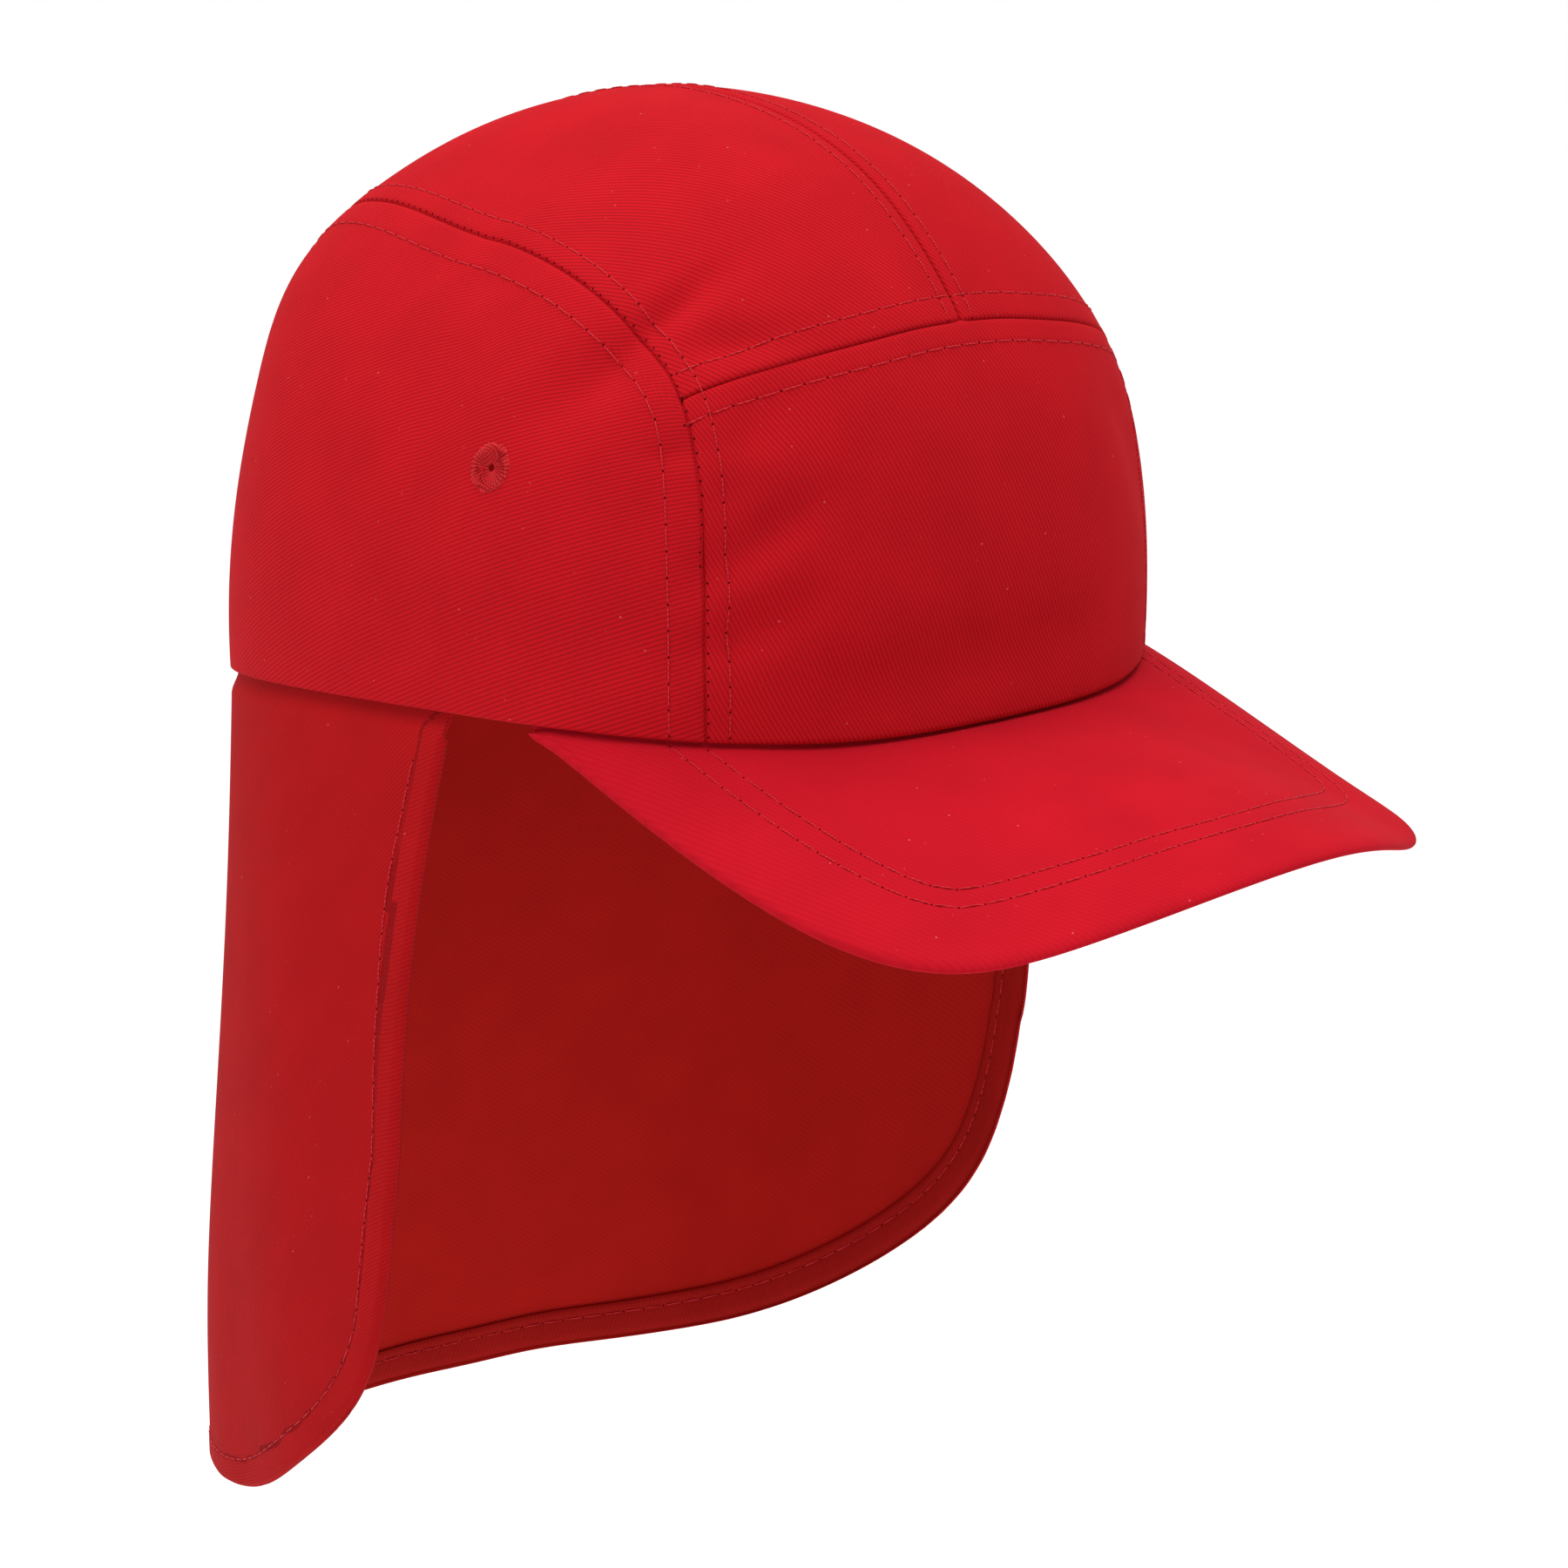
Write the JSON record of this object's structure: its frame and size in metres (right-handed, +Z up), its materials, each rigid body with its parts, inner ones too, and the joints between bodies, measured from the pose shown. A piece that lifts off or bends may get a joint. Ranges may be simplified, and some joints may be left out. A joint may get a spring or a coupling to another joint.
{
  "type": "legionnaire cap",
  "caption": "Panelled cotton cap with a low crown, a stiff curved peak and a long neck flap that hangs from the rim round the sides and back.",
  "frame": {"origin": "middle of the head opening at its widest section, where a head holds the cap", "axes": "+Z up through the crown, -Y forwards over the peak, +X to the wearer's left"},
  "size_m": [0.1902, 0.2975, 0.3116],
  "materials": {
    "crown_twill": "matt red cotton twill",
    "peak_twill": "matt red cotton twill over a stiff core",
    "flap_twill": "matt red cotton twill, a little darker inside",
    "eyelet_thread": "red embroidery thread with a faint sheen"
  },
  "bodies": {
    "root": {"front_panel": "crown_twill", "top_panel_left": "crown_twill", "top_panel_right": "crown_twill", "side_panel_left": "crown_twill", "side_panel_right": "crown_twill", "eyelet_left": "eyelet_thread", "eyelet_right": "eyelet_thread", "peak": "peak_twill", "neck_flap": "flap_twill", "flap_hem": "flap_twill"}
  },
  "joints": []
}
